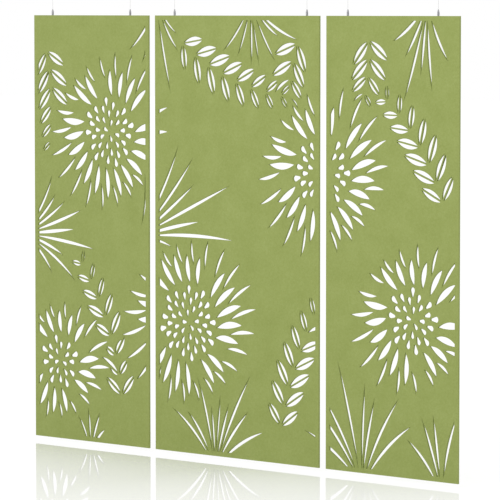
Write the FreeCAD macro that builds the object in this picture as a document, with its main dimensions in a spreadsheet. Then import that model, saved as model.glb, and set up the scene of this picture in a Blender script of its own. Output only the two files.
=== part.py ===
import FreeCAD, Part
import math
import os
import Sketcher

# A row of three felt panels that hang side by side from the ceiling on six short wires.
# The origin lies on the ceiling, midway between the two ceiling holes of the centre panel.
# X runs along the row, -Y is the front and +Z is up. Lengths are in millimetres.

sizes = (
    # the felt panels
    ("panel_height", 2438.4),
    ("side_panel_width", 914.4),
    ("centre_panel_width", 1219.2),
    ("felt_thickness", 12),
    ("panel_gap", 50.8),
    ("ceiling_drop", 130),
    ("hanger_inset", 147),
    ("short_inset", 92),
    # the threaded sleeves in the top edges, and the studs screwed into them
    ("sleeve_radius", 4),
    ("sleeve_length", 38),
    ("stud_radius", 2.5),
    ("stud_length", 25),
    ("thread_clearance", 0.1),
    ("flange_radius", 5.8),
    ("flange_thickness", 1.2),
    ("tang_radius", 5),
    ("tang_thickness", 4),
    ("pin_radius", 1.5),
    ("pin_length", 11.4),
    ("pin_clearance", 0.05),
    # the grippers
    ("gripper_radius", 6),
    ("foot_radius", 6.2),
    ("fork_clearance", 0.5),
    ("fork_side_clearance", 0.2),
    ("web_thickness", 2.5),
    ("chamber_radius", 4),
    ("ball_height", 11.5),
    ("ball_radius", 1),
    ("ball_gap", 0.05),
    ("cone_gap", 0.04),
    ("cone_angle", 8),
    ("shoulder_height", 11),
    ("nose_height", 24),
    ("nose_radius", 3.2),
    # the release plungers and their springs
    ("nozzle_radius", 2.4),
    ("nozzle_clearance", 0.1),
    ("nozzle_reach", 3),
    ("wire_clearance", 0.2),
    ("collar_radius", 2.9),
    ("collar_thickness", 1.6),
    ("collar_drop", 1.6),
    ("pocket_clearance", 0.1),
    ("spring_radius", 2.3),
    ("spring_wire_radius", 0.2),
    ("spring_seat_gap", 0.05),
    # the wires and the barrels on their upper ends
    ("wire_radius", 0.75),
    ("tail_length", 6.9),
    ("wire_seat", 1.5),
    ("barrel_radius", 2.25),
    ("barrel_length", 6),
    ("barrel_clearance", 0.05),
    # the trunnions that the barrels turn in
    ("trunnion_radius", 4),
    ("trunnion_length", 15),
    ("trunnion_clearance", 0.05),
    ("wire_slot_width", 3.4),
    # the ceiling fittings
    ("base_radius", 12),
    ("base_thickness", 4),
    ("spigot_radius", 9),
    ("spigot_length", 5),
    ("screw_hole_radius", 2.6),
    ("screw_head_radius", 5),
    ("screw_head_depth", 3),
    ("cap_clearance", 0.15),
    ("cap_height", 22),
    ("cap_chamfer", 1),
    ("axis_drop", 16),
    ("mouth_radius", 1),
    ("mouth_angle", 20),
    ("cradle_end_gap", 0.3),
    # the cut-outs in the felt
    ("cut_border", 25.4),
    ("cut_web", 7.2),
    ("shortest_cut", 60),
    ("narrowest_cut", 4),
    ("head_radius", 180),
    ("seed_web", 3.6),
    ("petal_length", 175),
    ("petal_width", 38),
    ("petal_start", 24),
    ("leaf_length", 155),
    ("leaf_width", 24),
    ("leaf_stalk", 10),
    ("vein", 7.6),
    ("sprig_length", 900),
    ("blade_length", 600),
    ("blade_width", 20),
    ("blade_start", 60),
    ("sample_pitch", 14),
    ("straight_bow", 0.05),
    # how far a cutting tool runs past a face
    ("overrun", 1),
)
spring_turns = 5
ball_count = 3

doc = FreeCAD.newDocument("HangingPanels")
sheet = doc.addObject("Spreadsheet::Sheet", "Sizes")
for row, (alias, number) in enumerate(sizes, start=1):
    sheet.set("A%d" % row, alias)
    sheet.set("B%d" % row, str(number))
    sheet.setAlias("B%d" % row, alias)
doc.recompute()


def size(alias):
    return float(sheet.get(alias))


# Heights, written as expressions of the sheet. Those of a gripper count from its clevis pin.
pivot_rise = "(Sizes.flange_thickness + Sizes.fork_clearance + Sizes.foot_radius)"
pivot_height = "(" + pivot_rise + " - Sizes.ceiling_drop)"
slot_top = "(Sizes.tang_radius + Sizes.fork_clearance)"
chamber_floor = "(" + slot_top + " + Sizes.web_thickness)"
ball_level = "(" + chamber_floor + " + Sizes.ball_height)"
collar_top = "(" + ball_level + " - Sizes.collar_drop)"
collar_foot = "(" + collar_top + " - Sizes.collar_thickness)"
nozzle_top = "(Sizes.nose_height + Sizes.nozzle_reach)"
wire_foot = "(" + ball_level + " - Sizes.tail_length)"
cap_foot = "(-Sizes.base_thickness - Sizes.cap_height)"

# Radii around the wire: the balls' circle, and the cone that they jam in.
ball_circle = "(Sizes.wire_radius + Sizes.ball_gap + Sizes.ball_radius)"
cone_slope = "tan(Sizes.cone_angle * 1deg)"
cone_at_balls = (
    "(" + ball_circle + " + (Sizes.ball_radius + Sizes.cone_gap) / cos(Sizes.cone_angle * 1deg))"
)
nose_bore = "(Sizes.nozzle_radius + Sizes.nozzle_clearance)"
cone_foot = "(" + ball_level + " - (Sizes.chamber_radius - " + cone_at_balls + ") / " + cone_slope + ")"
cone_top = "(" + ball_level + " + (" + cone_at_balls + " - " + nose_bore + ") / " + cone_slope + ")"
cap_bore = "(Sizes.spigot_radius + Sizes.cap_clearance)"


def bind(feature, **expressions):
    for name, text in expressions.items():
        feature.setExpression(name, text)
    return feature


def place(feature, x="0", y="0", z="0", axis=None, turn=0):
    """Bind a feature's place to the sheet, turned by a fixed angle about an axis."""
    if axis:
        rotation = FreeCAD.Rotation(FreeCAD.Vector(*axis), turn)
        feature.Placement = FreeCAD.Placement(FreeCAD.Vector(), rotation)
    for direction, text in (("x", x), ("y", y), ("z", z)):
        if text != "0":
            feature.setExpression("Placement.Base." + direction, text)
    return feature


def new_body(name):
    return doc.addObject("PartDesign::Body", name)


def origin_item(body, role):
    return [item for item in body.Origin.OriginFeatures if item.Role == role][0]


def profile(body, role, corners):
    """A closed sketch whose corners each have two dimensions bound to the sheet."""
    sketch = body.newObject("Sketcher::SketchObject", body.Name + "Profile")
    sketch.AttachmentSupport = (origin_item(body, role), [""])
    sketch.MapMode = "FlatFace"
    count = len(corners)
    rough = []
    for number in range(count):
        angle = math.tau * number / count
        rough.append(FreeCAD.Vector(math.cos(angle), math.sin(angle), 0))
    for number in range(count):
        sketch.addGeometry(Part.LineSegment(rough[number], rough[(number + 1) % count]), False)
    for number in range(count):
        following = (number + 1) % count
        sketch.addConstraint(Sketcher.Constraint("Coincident", number, 2, following, 1))
    for number, (across, up) in enumerate(corners):
        for kind, text, axis in (("DistanceX", across, -2), ("DistanceY", up, -1)):
            if text == "0":
                sketch.addConstraint(Sketcher.Constraint("PointOnObject", number, 1, axis))
            else:
                held = sketch.addConstraint(Sketcher.Constraint(kind, -1, 1, number, 1, 1.0))
                sketch.setExpression("Constraints[%d]" % held, text)
    return sketch


def turned(name, corners):
    """A body of revolution about Z, from corners given as radius and height."""
    body = new_body(name)
    sketch = profile(body, "XZ_Plane", corners)
    lathe = body.newObject("PartDesign::Revolution", name + "Turned")
    lathe.Profile = sketch
    lathe.ReferenceAxis = (sketch, ["V_Axis"])
    lathe.Angle = 360
    doc.recompute()
    return body


def drilled(body, name, radius, height, x="0", y="0", z="0", axis=None, turn=0):
    drill = body.newObject("PartDesign::SubtractiveCylinder", body.Name + name)
    bind(drill, Radius=radius, Height=height)
    place(drill, x, y, z, axis, turn)
    return drill


def milled(body, name, length, width, height, x="0", y="0", z="0"):
    mill = body.newObject("PartDesign::SubtractiveBox", body.Name + name)
    bind(mill, Length=length, Width=width, Height=height)
    place(mill, x, y, z)
    return mill


X_AXIS = (1, 0, 0)
Y_AXIS = (0, 1, 0)

# Ceiling base: a disc with a spigot below it, drilled and counterbored for one ceiling screw.
base_corners = (
    ("Sizes.screw_hole_radius", "0"),
    ("Sizes.base_radius", "0"),
    ("Sizes.base_radius", "-Sizes.base_thickness"),
    ("Sizes.spigot_radius", "-Sizes.base_thickness"),
    ("Sizes.spigot_radius", "-Sizes.base_thickness - Sizes.spigot_length"),
    ("Sizes.screw_head_radius", "-Sizes.base_thickness - Sizes.spigot_length"),
    (
        "Sizes.screw_head_radius",
        "-Sizes.base_thickness - Sizes.spigot_length + Sizes.screw_head_depth",
    ),
    (
        "Sizes.screw_hole_radius",
        "-Sizes.base_thickness - Sizes.spigot_length + Sizes.screw_head_depth",
    ),
)
ceiling_base = turned("CeilingBase", base_corners)

# Ceiling cap: a cup that screws onto the spigot. Its floor cradles the trunnion, and a flared
# mouth in the floor lets the wire swing.
cap_corners = (
    ("0", cap_foot),
    ("Sizes.base_radius - Sizes.cap_chamfer", cap_foot),
    ("Sizes.base_radius", cap_foot + " + Sizes.cap_chamfer"),
    ("Sizes.base_radius", "-Sizes.base_thickness"),
    (cap_bore, "-Sizes.base_thickness"),
    (cap_bore, "-Sizes.axis_drop"),
    ("0", "-Sizes.axis_drop"),
)
ceiling_cap = turned("CeilingCap", cap_corners)
cradle_length = "(Sizes.trunnion_length + 2 * Sizes.cradle_end_gap)"
drilled(
    ceiling_cap,
    "Cradle",
    "Sizes.trunnion_radius + Sizes.trunnion_clearance",
    cradle_length,
    x="-" + cradle_length + " / 2",
    z="-Sizes.axis_drop",
    axis=Y_AXIS,
    turn=90,
)
mouth_depth = "(-" + cap_foot + " - Sizes.axis_drop)"
mouth = ceiling_cap.newObject("PartDesign::SubtractiveCone", "CeilingCapMouth")
bind(
    mouth,
    Radius1="Sizes.mouth_radius + " + mouth_depth + " * tan(Sizes.mouth_angle * 1deg)",
    Radius2="Sizes.mouth_radius",
    Height=mouth_depth,
)
place(mouth, z=cap_foot)

# Trunnion: a short bar across the cap. The wire's barrel lies in its cross bore, and a slot
# below the bore lets the wire in from one side.
trunnion = new_body("Trunnion")
bar = trunnion.newObject("PartDesign::AdditiveCylinder", "TrunnionBar")
bind(bar, Radius="Sizes.trunnion_radius", Height="Sizes.trunnion_length")
place(bar, x="-Sizes.trunnion_length / 2", axis=Y_AXIS, turn=90)
bar_reach = "(Sizes.trunnion_radius + Sizes.overrun)"
drilled(
    trunnion,
    "Bore",
    "Sizes.barrel_radius + Sizes.barrel_clearance",
    "2 * " + bar_reach,
    y="-" + bar_reach,
    axis=X_AXIS,
    turn=-90,
)
milled(
    trunnion,
    "Slot",
    "Sizes.wire_slot_width",
    "Sizes.wire_radius + Sizes.wire_clearance + " + bar_reach,
    bar_reach,
    x="-Sizes.wire_slot_width / 2",
    y="-Sizes.wire_radius - Sizes.wire_clearance",
    z="-" + bar_reach,
)

# Wire barrel: the round end piece swaged onto the wire, bored from below for it.
wire_barrel = new_body("WireBarrel")
slug = wire_barrel.newObject("PartDesign::AdditiveCylinder", "WireBarrelSlug")
bind(slug, Radius="Sizes.barrel_radius", Height="Sizes.barrel_length")
place(slug, y="-Sizes.barrel_length / 2", axis=X_AXIS, turn=-90)
barrel_foot = "(Sizes.barrel_radius + Sizes.overrun)"
drilled(
    wire_barrel,
    "Seat",
    "Sizes.wire_radius",
    barrel_foot + " + Sizes.wire_seat",
    z="-" + barrel_foot,
)

# Wire: one straight rope from its barrel down into the gripper, with a short tail.
wire = doc.addObject("Part::Cylinder", "Wire")
wire_height = "(Sizes.ceiling_drop - Sizes.axis_drop - " + pivot_rise + " - " + wire_foot + ")"
bind(wire, Radius="Sizes.wire_radius", Height=wire_height + " + Sizes.wire_seat")
place(wire, z=wire_foot)

# Gripper: a fork round the panel's tang below, and above it the chamber, the jamming cone and
# the nose. It counts from the clevis pin.
gripper_corners = (
    ("0", "-Sizes.foot_radius - Sizes.overrun"),
    ("Sizes.gripper_radius", "-Sizes.foot_radius - Sizes.overrun"),
    ("Sizes.gripper_radius", "Sizes.shoulder_height"),
    ("Sizes.nose_radius", "Sizes.nose_height"),
    (nose_bore, "Sizes.nose_height"),
    (nose_bore, cone_top),
    ("Sizes.chamber_radius", cone_foot),
    ("Sizes.chamber_radius", chamber_floor),
    ("0", chamber_floor),
)
gripper_blank = turned("GripperBlank", gripper_corners)
fork_slot = "(Sizes.tang_thickness + 2 * Sizes.fork_side_clearance)"
milled(
    gripper_blank,
    "Fork",
    "2 * (Sizes.gripper_radius + Sizes.overrun)",
    fork_slot,
    "Sizes.foot_radius + 2 * Sizes.overrun + " + slot_top,
    x="-Sizes.gripper_radius - Sizes.overrun",
    y="-" + fork_slot + " / 2",
    z="-Sizes.foot_radius - 2 * Sizes.overrun",
)
drilled(
    gripper_blank,
    "PinHole",
    "Sizes.pin_radius + Sizes.pin_clearance",
    "2 * (Sizes.gripper_radius + Sizes.overrun)",
    y="-Sizes.gripper_radius - Sizes.overrun",
    axis=X_AXIS,
    turn=-90,
)
doc.recompute()
# The fork's foot is rounded about the pin, so that it clears the stud's flange as it tilts.
round_foot = doc.addObject("Part::Cylinder", "GripperRoundFoot")
bind(round_foot, Radius="Sizes.foot_radius", Height="2 * (Sizes.gripper_radius + Sizes.overrun)")
place(round_foot, y="-Sizes.gripper_radius - Sizes.overrun", axis=X_AXIS, turn=-90)
foot_reach = "(Sizes.foot_radius + 2 * Sizes.overrun)"
foot_block = doc.addObject("Part::Box", "GripperFootBlock")
bind(
    foot_block,
    Length="2 * " + foot_reach,
    Width="2 * " + foot_reach,
    Height=foot_reach,
)
place(foot_block, "-" + foot_reach, "-" + foot_reach, "-" + foot_reach)
foot_waste = doc.addObject("Part::Cut", "GripperFootWaste")
foot_waste.Base = foot_block
foot_waste.Tool = round_foot
gripper = doc.addObject("Part::Cut", "Gripper")
gripper.Base = gripper_blank
gripper.Tool = foot_waste

# Clevis pin: holds the tang in the fork.
clevis_pin = doc.addObject("Part::Cylinder", "ClevisPin")
bind(clevis_pin, Radius="Sizes.pin_radius", Height="Sizes.pin_length")
place(clevis_pin, y="-Sizes.pin_length / 2", axis=X_AXIS, turn=-90)

# Release plunger: the nozzle that shows above the nose, the ball cage and the spring's collar.
wire_bore = "(Sizes.wire_radius + Sizes.wire_clearance)"
plunger_corners = (
    (wire_bore, collar_foot),
    ("Sizes.collar_radius", collar_foot),
    ("Sizes.collar_radius", collar_top),
    ("Sizes.nozzle_radius", collar_top),
    ("Sizes.nozzle_radius", nozzle_top),
    (wire_bore, nozzle_top),
)
plunger = turned("Plunger", plunger_corners)
pocket = drilled(
    plunger,
    "Pocket",
    "Sizes.ball_radius + Sizes.pocket_clearance",
    "Sizes.nozzle_radius + Sizes.overrun",
    z=ball_level,
    axis=Y_AXIS,
    turn=90,
)
doc.recompute()
pockets = plunger.newObject("PartDesign::PolarPattern", "PlungerPockets")
pockets.Originals = [pocket]
pockets.Axis = (origin_item(plunger, "Z_Axis"), [""])
pockets.Angle = 360
pockets.Occurrences = ball_count
plunger.Tip = pockets

# Gripping balls: they sit in the cage's pockets, between the wire and the cone.
balls = []
for number in range(ball_count):
    angle = "%g * 1deg" % (360 * number / ball_count)
    ball = doc.addObject("Part::Sphere", "Ball%d" % number)
    bind(ball, Radius="Sizes.ball_radius")
    x = ball_circle + " * cos(" + angle + ")"
    y = ball_circle + " * sin(" + angle + ")"
    place(ball, x, y, ball_level)
    balls.append(ball)
ball_set = doc.addObject("Part::Compound", "BallSet")
ball_set.Links = balls

# Edge sleeve: a threaded tube bonded into the panel's top edge, counted from that edge.
sleeve_corners = (
    ("Sizes.stud_radius + Sizes.thread_clearance", "0"),
    ("Sizes.sleeve_radius", "0"),
    ("Sizes.sleeve_radius", "-Sizes.sleeve_length"),
    ("Sizes.stud_radius + Sizes.thread_clearance", "-Sizes.sleeve_length"),
)
edge_sleeve = turned("EdgeSleeve", sleeve_corners)

# Edge stud: a shank in the sleeve, a flange on the edge and a flat tang with the pin's eye.
stud_corners = (
    ("0", "-Sizes.stud_length"),
    ("Sizes.stud_radius", "-Sizes.stud_length"),
    ("Sizes.stud_radius", "0"),
    ("Sizes.flange_radius", "0"),
    ("Sizes.flange_radius", "Sizes.flange_thickness"),
    ("0", "Sizes.flange_thickness"),
)
edge_stud = turned("EdgeStud", stud_corners)
neck = edge_stud.newObject("PartDesign::AdditiveBox", "EdgeStudNeck")
bind(
    neck,
    Length="2 * Sizes.tang_radius",
    Width="Sizes.tang_thickness",
    Height=pivot_rise + " - Sizes.flange_thickness / 2",
)
place(
    neck,
    x="-Sizes.tang_radius",
    y="-Sizes.tang_thickness / 2",
    z="Sizes.flange_thickness / 2",
)
eye = edge_stud.newObject("PartDesign::AdditiveCylinder", "EdgeStudEye")
bind(eye, Radius="Sizes.tang_radius", Height="Sizes.tang_thickness")
place(eye, y="-Sizes.tang_thickness / 2", z=pivot_rise, axis=X_AXIS, turn=-90)
drilled(
    edge_stud,
    "PinHole",
    "Sizes.pin_radius + Sizes.pin_clearance",
    "Sizes.tang_thickness + 2 * Sizes.overrun",
    y="-Sizes.tang_thickness / 2 - Sizes.overrun",
    z=pivot_rise,
    axis=X_AXIS,
    turn=-90,
)
doc.recompute()


# Release spring: a helix of round wire, swept along arcs that meet in line.
def arc_between(start, corner, end):
    middle = (start + end) * 0.5
    half = start.distanceToPoint(middle)
    rise = corner.distanceToPoint(middle)
    sagitta = half * math.tan(math.atan2(rise, half) / 2)
    return Part.Arc(start, middle + (corner - middle).normalize() * sagitta, end).toShape()


def helix_path(radius, foot, top, turns):
    quarters = 4 * turns
    climb = (top - foot) / quarters
    edges = []
    for step in range(quarters):
        ends = []
        for number in (step, step + 1):
            angle = math.tau * number / 4
            point = FreeCAD.Vector(
                radius * math.cos(angle), radius * math.sin(angle), foot + climb * number
            )
            along = FreeCAD.Vector(-math.sin(angle), math.cos(angle), 4 * climb / (math.tau * radius))
            ends.append((point, along.normalize()))
        (first, leaving), (last, arriving) = ends
        chord = last - first
        both = leaving + arriving
        stiff = 2 * (1 - leaving.dot(arriving))
        reach = -chord.dot(both) + math.sqrt(chord.dot(both) ** 2 + stiff * chord.dot(chord))
        reach /= stiff
        leaving_corner = first + leaving * reach
        arriving_corner = last - arriving * reach
        joint = (leaving_corner + arriving_corner) * 0.5
        edges.append(arc_between(first, leaving_corner, joint))
        edges.append(arc_between(joint, arriving_corner, last))
    return Part.Wire(edges)


floor_value = (
    size("tang_radius") + size("fork_clearance") + size("web_thickness")
)
collar_value = (
    floor_value + size("ball_height") - size("collar_drop") - size("collar_thickness")
)
coil_margin = size("spring_wire_radius") + size("spring_seat_gap")
coil_foot = floor_value + coil_margin
coil_top = collar_value - coil_margin
coil_path = helix_path(size("spring_radius"), coil_foot, coil_top, spring_turns)
coil_start = FreeCAD.Vector(size("spring_radius"), 0, coil_foot)
coil_section = Part.Wire(
    Part.makeCircle(size("spring_wire_radius"), coil_start, coil_path.Edges[0].tangentAt(0))
)
spring = doc.addObject("Part::Feature", "Spring")
spring.Shape = coil_path.makePipeShell([coil_section], True, False)


# The cut-outs: a meadow of flower heads, leafy sprigs and grass that runs over all three
# panels. Places in the tables are shares of the whole row's width and height.
# flower heads: across, up, share of the head radius, seeds, petals, turn in radians
head_shares = (
    (0.190, 0.730, 0.98, 36, 22, 0.3),
    (0.385, 0.300, 1.08, 44, 24, 0.7),
    (0.700, 0.655, 1.00, 38, 22, 0.1),
    (0.900, 0.345, 0.86, 28, 19, 0.5),
    (0.062, 0.185, 0.74, 20, 17, 1.1),
)
# sprigs: across, up, heading and curl in degrees, share of the sprig length, leaf pairs
sprig_shares = (
    (0.345, 0.965, -42, 34, 1.00, 8),
    (0.022, 0.955, -70, -24, 0.69, 6),
    (0.225, 0.070, 92, 34, 1.02, 8),
    (0.600, 0.040, 84, -28, 0.98, 8),
    (0.975, 0.560, 104, 34, 0.84, 7),
    (0.800, 0.985, -78, -24, 0.42, 4),
    (0.655, 0.975, -122, 30, 0.44, 4),
)
# grass: across, up, heading and fan in degrees, share of the blade length, blades
grass_shares = (
    (0.310, 1.030, -88, 34, 0.90, 9),
    (0.535, 1.030, -84, 46, 1.00, 12),
    (0.930, 1.030, -96, 36, 0.80, 9),
    (0.265, 0.490, 24, 52, 1.15, 11),
    (-0.030, 0.480, 6, 44, 0.85, 9),
    (0.140, -0.030, 82, 26, 0.50, 7),
    (0.450, -0.030, 84, 44, 0.93, 11),
    (0.790, -0.030, 96, 42, 1.03, 13),
    (0.965, -0.030, 98, 26, 0.70, 7),
)
shrink_shares = (1.0, 0.8, 0.62, 0.45)

border = size("cut_border")
web = size("cut_web")
sample_pitch = size("sample_pitch")
panel_height = size("panel_height")
panel_gap = size("panel_gap")
panel_widths = (size("side_panel_width"), size("centre_panel_width"), size("side_panel_width"))
row_width = sum(panel_widths) + 2 * panel_gap


def heading_vector(angle):
    return FreeCAD.Vector(math.cos(angle), math.sin(angle), 0)


class Slot:
    """A cut-out drawn flat, with x along the row and y up, and samples of its middle line."""

    def __init__(self, start, end, start_radius, end_radius, half_width=0, bow=0):
        self.start = start
        self.end = end
        self.start_radius = start_radius
        self.end_radius = end_radius
        self.half_width = half_width
        self.bow = bow
        chord = end - start
        self.length = chord.Length
        self.along = chord / self.length
        self.side = FreeCAD.Vector(-self.along.y, self.along.x, 0)
        self.samples = self.sampled()
        widest = max(start_radius, end_radius, half_width)
        self.low_x = min(point.x for point, reach in self.samples) - widest
        self.high_x = max(point.x for point, reach in self.samples) + widest
        self.low_y = min(point.y for point, reach in self.samples) - widest
        self.high_y = max(point.y for point, reach in self.samples) + widest

    def sampled(self):
        count = max(4, int(self.length / sample_pitch))
        samples = []
        for number in range(count + 1):
            share = number / count
            swell = 4 * share * (1 - share)
            reach = self.start_radius + (self.end_radius - self.start_radius) * share
            reach += self.half_width * swell
            point = self.start + self.along * (self.length * share) + self.side * (self.bow * swell)
            samples.append((point, reach))
        return samples

    def is_leaf(self):
        return self.half_width > 0

    def clears(self, other):
        apart_x = self.low_x > other.high_x + web or self.high_x < other.low_x - web
        apart_y = self.low_y > other.high_y + web or self.high_y < other.low_y - web
        if apart_x or apart_y:
            return True
        for point, reach in self.samples:
            for place_there, reach_there in other.samples:
                across = point.x - place_there.x
                up = point.y - place_there.y
                if math.hypot(across, up) < reach + reach_there + web:
                    return False
        return True

    def leaf_edge(self, bulge):
        if abs(bulge) < size("straight_bow"):
            return Part.LineSegment(self.start, self.end)
        middle = self.start + self.along * (self.length / 2) + self.side * bulge
        return Part.Arc(self.start, middle, self.end)

    def leaf_outline(self):
        return [self.leaf_edge(self.bow + self.half_width), self.leaf_edge(self.bow - self.half_width)]

    def drop_outline(self):
        """Two round ends and the two straight sides that touch both."""
        lean = (self.start_radius - self.end_radius) / self.length
        square = math.sqrt(1 - lean * lean)
        edges = []
        corners = []
        for turn in (1, -1):
            touch = self.along * lean + self.side * (square * turn)
            corners.append(self.start + touch * self.start_radius)
            corners.append(self.end + touch * self.end_radius)
        start_up, end_up, start_down, end_down = corners
        edges.append(Part.LineSegment(start_up, end_up))
        edges.append(Part.Arc(end_up, self.end + self.along * self.end_radius, end_down))
        edges.append(Part.LineSegment(end_down, start_down))
        edges.append(Part.Arc(start_down, self.start - self.along * self.start_radius, start_up))
        return edges

    def wire(self):
        edges = self.leaf_outline() if self.is_leaf() else self.drop_outline()
        return Part.Wire([edge.toShape() for edge in edges])


def leaf(start, end, half_width, bow):
    return Slot(start, end, 0, 0, half_width, bow)


def shortened(slot, share):
    """The same leaf or petal, shorter and narrower, from the same foot."""
    narrow = (1 + share) / 2
    bow = slot.bow * share
    if abs(abs(slot.bow) - slot.half_width) < size("straight_bow"):
        bow = slot.bow * narrow
    return leaf(slot.start, slot.start + slot.along * (slot.length * share), slot.half_width * narrow, bow)


# Flower heads: seeds on a golden spiral that widen outwards, then two rings of petals. Each
# ring's petals lean, bow and swell in length a little as they go round; angles are in radians.
golden_angle = math.pi * (3 - math.sqrt(5))
first_seed_share = 0.65
seed_cell_share = 0.40
seed_growth_share = 0.13
seed_long_share = 0.66
seed_inner_share = 0.30
seed_outer_share = 0.70
petal_bow_share = 0.05
inner_swell_share = 0.10
inner_lean = 0.10
outer_foot_share = 0.70
outer_tip_share = 1.60
outer_width_share = 0.55
outer_swell_share = 0.16
outer_shift = 0.06
outer_lean = 0.09


def flower_head(centre, radius, seeds, petals, turn):
    made = []
    cell = math.sqrt(math.pi * radius * radius / seeds)
    for number in range(seeds):
        share = (number + first_seed_share) / seeds
        out = heading_vector((number + 1) * golden_angle + turn)
        reach = radius * math.sqrt(share)
        half = cell * (seed_cell_share + seed_growth_share * share) - size("seed_web")
        inner = centre + out * (reach - half * seed_long_share)
        outer = centre + out * (reach + half * seed_long_share)
        made.append(Slot(inner, outer, half * seed_inner_share, half * seed_outer_share))
    length = size("petal_length") * math.sqrt(radius / size("head_radius"))
    half_width = size("petal_width") / 2
    first = radius + size("petal_start")
    for number in range(petals):
        angle = math.tau * number / petals + turn
        reach = first + length * (1 + inner_swell_share * math.sin(3 * angle + turn))
        start = centre + heading_vector(angle) * first
        end = centre + heading_vector(angle + inner_lean) * reach
        made.append(leaf(start, end, half_width, length * petal_bow_share))
    for number in range(petals):
        angle = math.tau * (number + 1 / 2) / petals + turn + outer_shift
        swell = 1 + outer_swell_share * math.sin(2 * angle + turn)
        start = centre + heading_vector(angle) * (radius + length * outer_foot_share)
        end = centre + heading_vector(angle + outer_lean) * (radius + length * outer_tip_share * swell)
        made.append(leaf(start, end, half_width * outer_width_share, length * petal_bow_share))
    return made


def split_leaf(foot, heading, length, half_width):
    """Two half leaves with the vein of felt left between them."""
    made = []
    along = heading_vector(heading)
    for side in (1, -1):
        start = foot + heading_vector(heading + side * math.pi / 2) * (size("vein") / 2)
        made.append(leaf(start, start + along * length, half_width, side * half_width))
    return made


# Sprigs: pairs of split leaves that grow, then shrink, along a curling stalk.
leaf_spread = 46
first_leaf_share = 0.70
full_leaf_share = 0.42
last_leaf_share = -0.22
leaf_growth_share = 0.8
tip_leaf_share = 0.8


def sprig(root, heading, curl, length, pairs):
    made = []
    point = root
    spread = math.radians(leaf_spread)
    half_width = size("leaf_width") / 2
    for number in range(1, pairs + 1):
        heading += curl / pairs
        point = point + heading_vector(heading) * (length / pairs)
        share = number / pairs
        grown = first_leaf_share + last_leaf_share * share
        grown += full_leaf_share * math.sin(math.pi * share**leaf_growth_share)
        for side in (1, -1):
            aim = heading + side * spread
            foot = point + heading_vector(aim) * size("leaf_stalk")
            made += split_leaf(foot, aim, size("leaf_length") * grown, half_width * grown)
    foot = point + heading_vector(heading) * (2 * size("leaf_stalk"))
    made += split_leaf(foot, heading, size("leaf_length") * tip_leaf_share, half_width * tip_leaf_share)
    return made


# Grass: a fan of blades, unequal in length and foot, that droop more towards its sides.
blade_mean_share = 0.80
blade_swell_share = 0.20
blade_step = 2.6
side_fall_share = 0.35
foot_step_share = 0.5
droop_share = 0.5


def grass(root, heading, fan, length, blades):
    made = []
    for number in range(blades):
        share = (2 * number + 1) / blades - 1
        angle = heading - fan * share
        reach = length * (blade_mean_share + blade_swell_share * math.cos(blade_step * number))
        reach *= 1 - side_fall_share * share * share
        foot = size("blade_start") * (1 + foot_step_share * (number % 2))
        start = root + heading_vector(angle) * foot
        droop = -droop_share * share
        end = start + heading_vector(angle + droop / 2) * reach
        # an arc that turns by the droop bows by an eighth of it, as a share of its chord
        made.append(leaf(start, end, size("blade_width") / 2, -reach * droop / 8))
    return made


def row_place(across, up):
    return FreeCAD.Vector(across * row_width, up * panel_height, 0)


# The left edge of each panel, from the left end of the row, and its two hangers from there.
panel_edges = []
edge = 0
for width in panel_widths:
    panel_edges.append(edge)
    edge += width + panel_gap
right_insets = (size("hanger_inset"), size("short_inset"), size("hanger_inset"))
hanger_places = []
for edge, width, right_inset in zip(panel_edges, panel_widths, right_insets):
    hanger_places.append((edge + size("hanger_inset"), edge + width - right_inset))

# The felt round each sleeve stays whole.
kept_whole = []
for pair in hanger_places:
    for across in pair:
        top = FreeCAD.Vector(across, panel_height, 0)
        foot = top - FreeCAD.Vector(0, size("sleeve_length"), 0)
        kept_whole.append(Slot(top, foot, size("sleeve_radius"), size("sleeve_radius")))

wanted = []
for across, up, share, seeds, petals, turn in head_shares:
    wanted += flower_head(row_place(across, up), size("head_radius") * share, seeds, petals, turn)
for across, up, heading, curl, share, pairs in sprig_shares:
    length = size("sprig_length") * share
    wanted += sprig(row_place(across, up), math.radians(heading), math.radians(curl), length, pairs)
for across, up, heading, fan, share, blades in grass_shares:
    length = size("blade_length") * share
    wanted += grass(row_place(across, up), math.radians(heading), math.radians(fan), length, blades)

slots = []
for slot in wanted:
    tries = [slot]
    if slot.is_leaf():
        tries = [shortened(slot, share) for share in shrink_shares]
    for candidate in tries:
        long_enough = candidate.length >= size("shortest_cut") or not candidate.is_leaf()
        if long_enough and all(candidate.clears(other) for other in kept_whole + slots):
            slots.append(candidate)
            break


def trimmed_wires(slot, left, right):
    """The slot's outlines within one panel's border, as closed wires."""
    low, high = border, panel_height - border
    left, right = left + border, right - border
    if slot.low_x >= right or slot.high_x <= left or slot.low_y >= high or slot.high_y <= low:
        return []
    if slot.low_x > left and slot.high_x < right and slot.low_y > low and slot.high_y < high:
        return [slot.wire()]
    field = Part.makePlane(right - left, high - low, FreeCAD.Vector(left, low, 0))
    kept = []
    for face in Part.Face(slot.wire()).common(field).Faces:
        diagonal = face.BoundBox.DiagonalLength
        if diagonal >= size("shortest_cut") and face.Area >= diagonal * size("narrowest_cut"):
            kept.append(face.OuterWire)
    return kept


def cut_face(left, width):
    """One panel's flat front with its cut-outs, counted from the row's lower left corner."""
    outer = Part.makePolygon(
        [
            FreeCAD.Vector(left, 0, 0),
            FreeCAD.Vector(left + width, 0, 0),
            FreeCAD.Vector(left + width, panel_height, 0),
            FreeCAD.Vector(left, panel_height, 0),
            FreeCAD.Vector(left, 0, 0),
        ]
    )
    wires = [outer]
    for slot in slots:
        wires += trimmed_wires(slot, left, left + width)
    return Part.Face(wires)


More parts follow.
